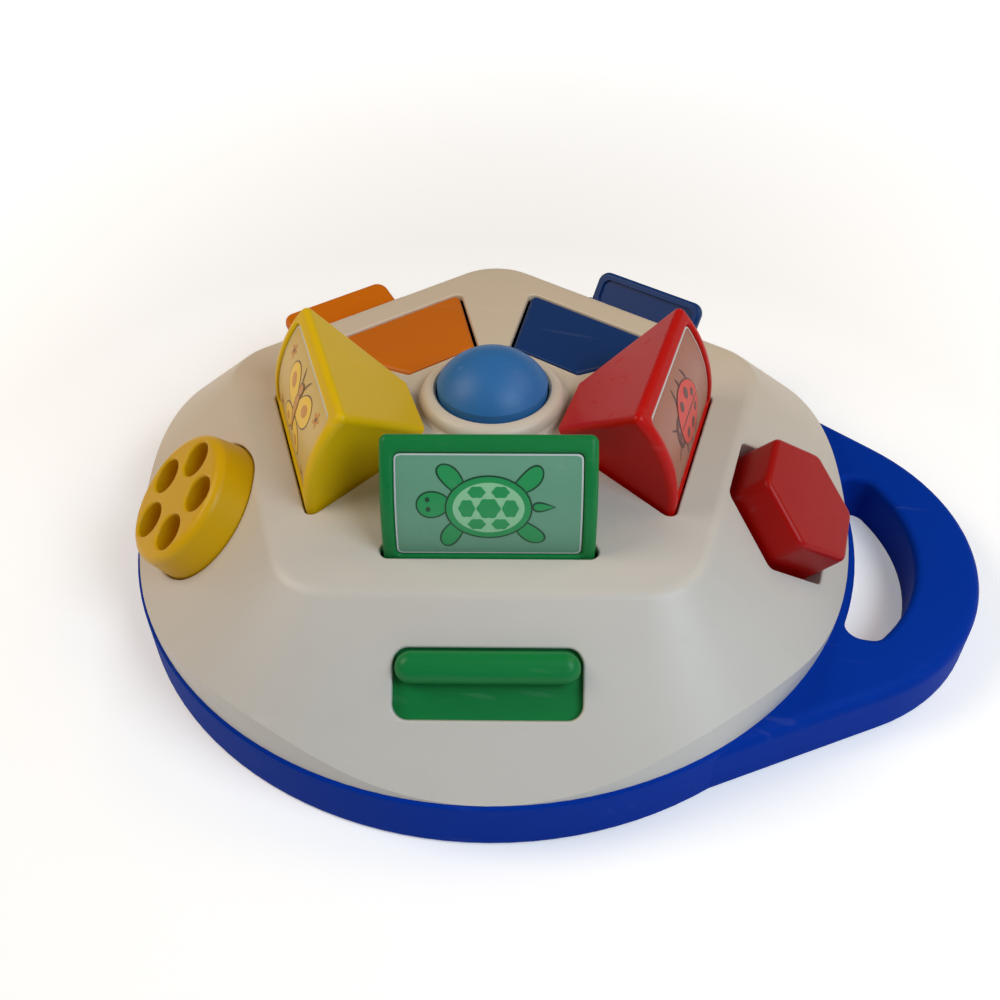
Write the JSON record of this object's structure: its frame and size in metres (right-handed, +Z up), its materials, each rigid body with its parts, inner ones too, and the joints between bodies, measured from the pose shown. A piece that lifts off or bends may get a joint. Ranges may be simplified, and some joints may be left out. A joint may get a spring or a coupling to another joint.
{
  "type": "pop-up flap toy",
  "caption": "Round pop-up toy with a blue base and carry handle, hinged picture flaps round a centre button, and a slider, dial, push knob and levers on its sloped rim.",
  "frame": {"origin": "middle of the round body on the floor it rests on", "axes": "+X from the middle along the carry handle, +Z up, +Y completes the right-handed frame"},
  "size_m": [0.3297, 0.282, 0.1043],
  "materials": {
    "blue_shell": "satin",
    "white_shell": "satin",
    "green_plastic": "satin",
    "red_plastic": "satin",
    "blue_plastic": "satin",
    "orange_plastic": "satin",
    "yellow_plastic": "satin",
    "green_film": "satin print film",
    "red_film": "satin print film",
    "blue_film": "satin print film",
    "orange_film": "satin print film",
    "yellow_film": "satin print film",
    "button_plastic": "gloss",
    "inner_plastic": "natural",
    "steel": "bright"
  },
  "bodies": {
    "base": {"base_tray": "blue_shell", "handle_plate": "blue_shell", "top_cover": "white_shell", "case_screws": "steel", "bracket_screws": "steel", "flap_hinge_pins": "steel", "lever_pins": "steel", "slider_keeper": "inner_plastic", "dial_bracket": "inner_plastic", "knob_bracket": "inner_plastic", "button_spring": "steel", "knob_spring": "steel", "latch_green": "inner_plastic", "latch_red": "inner_plastic", "latch_blue": "inner_plastic", "latch_orange": "inner_plastic", "latch_yellow": "inner_plastic", "hinge_spring_green": "steel", "hinge_spring_red": "steel", "hinge_spring_blue": "steel", "hinge_spring_orange": "steel", "hinge_spring_yellow": "steel"},
    "flap_body_green": {"flap_green": "green_plastic", "sticker_green": "green_film"},
    "flap_body_red": {"flap_red": "red_plastic", "sticker_red": "red_film"},
    "flap_body_blue": {"flap_blue": "blue_plastic", "sticker_blue": "blue_film"},
    "flap_body_orange": {"flap_orange": "orange_plastic", "sticker_orange": "orange_film"},
    "flap_body_yellow": {"flap_yellow": "yellow_plastic", "sticker_yellow": "yellow_film"},
    "button_body": {"centre_button": "button_plastic"},
    "slider_body": {"slider_green": "green_plastic"},
    "dial_body": {"dial_yellow": "yellow_plastic", "dial_cam": "inner_plastic", "dial_screw": "steel"},
    "knob_body": {"knob_red": "red_plastic"},
    "lever_body_blue": {"lever_blue": "blue_plastic"},
    "lever_body_orange": {"lever_orange": "orange_plastic"}
  },
  "joints": [
    {"name": "flap_hinge_green", "type": "hinge", "parent": "base", "child": "flap_body_green", "pos_m": [0.00503, -0.02515, 0.06817], "axis": [-0.9806, -0.1959, 0], "range_deg": [-48, 0], "stiffness_Nm_per_rad": 0.04, "springref_deg": 34.38, "deforming": ["hinge_spring_green", "latch_green"]},
    {"name": "flap_hinge_red", "type": "hinge", "parent": "base", "child": "flap_body_red", "pos_m": [0.02547, -0.00299, 0.06817], "axis": [-0.1167, -0.9932, 0], "range_deg": [-48, 0], "stiffness_Nm_per_rad": 0.04, "springref_deg": 34.38, "deforming": ["hinge_spring_red", "latch_red"]},
    {"name": "flap_hinge_blue", "type": "hinge", "parent": "base", "child": "flap_body_blue", "pos_m": [0.01072, 0.0233, 0.06817], "axis": [0.9085, -0.4179, 0], "range_deg": [0, 48], "deforming": ["hinge_spring_blue", "latch_blue"]},
    {"name": "flap_hinge_orange", "type": "hinge", "parent": "base", "child": "flap_body_orange", "pos_m": [-0.01885, 0.01739, 0.06817], "axis": [0.6782, 0.7349, 0], "range_deg": [0, 48], "deforming": ["hinge_spring_orange", "latch_orange"]},
    {"name": "flap_hinge_yellow", "type": "hinge", "parent": "base", "child": "flap_body_yellow", "pos_m": [-0.02237, -0.01255, 0.06817], "axis": [-0.4894, 0.8721, 0], "range_deg": [-48, 0], "stiffness_Nm_per_rad": 0.04, "springref_deg": 34.38, "deforming": ["hinge_spring_yellow", "latch_yellow"]},
    {"name": "button_press", "type": "slide", "parent": "base", "child": "button_body", "axis": [0, 0, -1], "range_m": [0, 0.005], "stiffness_N_per_m": 400, "springref_m": -0.005, "deforming": ["button_spring"]},
    {"name": "slider_slide", "type": "slide", "parent": "base", "child": "slider_body", "axis": [0.1458, -0.7296, -0.6681], "range_m": [0, 0.011]},
    {"name": "dial_turn", "type": "hinge", "parent": "base", "child": "dial_body", "pos_m": [-0.0972, -0.05455, 0.04693], "axis": [-0.5827, -0.327, 0.744], "continuous": true},
    {"name": "knob_press", "type": "slide", "parent": "base", "child": "knob_body", "axis": [-0.6636, 0.078, -0.744], "range_m": [0, 0.006], "stiffness_N_per_m": 400, "springref_m": -0.005, "deforming": ["knob_spring"]},
    {"name": "lever_turn_blue", "type": "hinge", "parent": "base", "child": "lever_body_blue", "pos_m": [0.04448, 0.09671, 0.04135], "axis": [-0.9085, 0.4179, 0], "range_deg": [0, 35.3]},
    {"name": "lever_turn_orange", "type": "hinge", "parent": "base", "child": "lever_body_orange", "pos_m": [-0.07823, 0.07219, 0.04135], "axis": [-0.6782, -0.7349, 0], "range_deg": [-35.3, 0]}
  ]
}
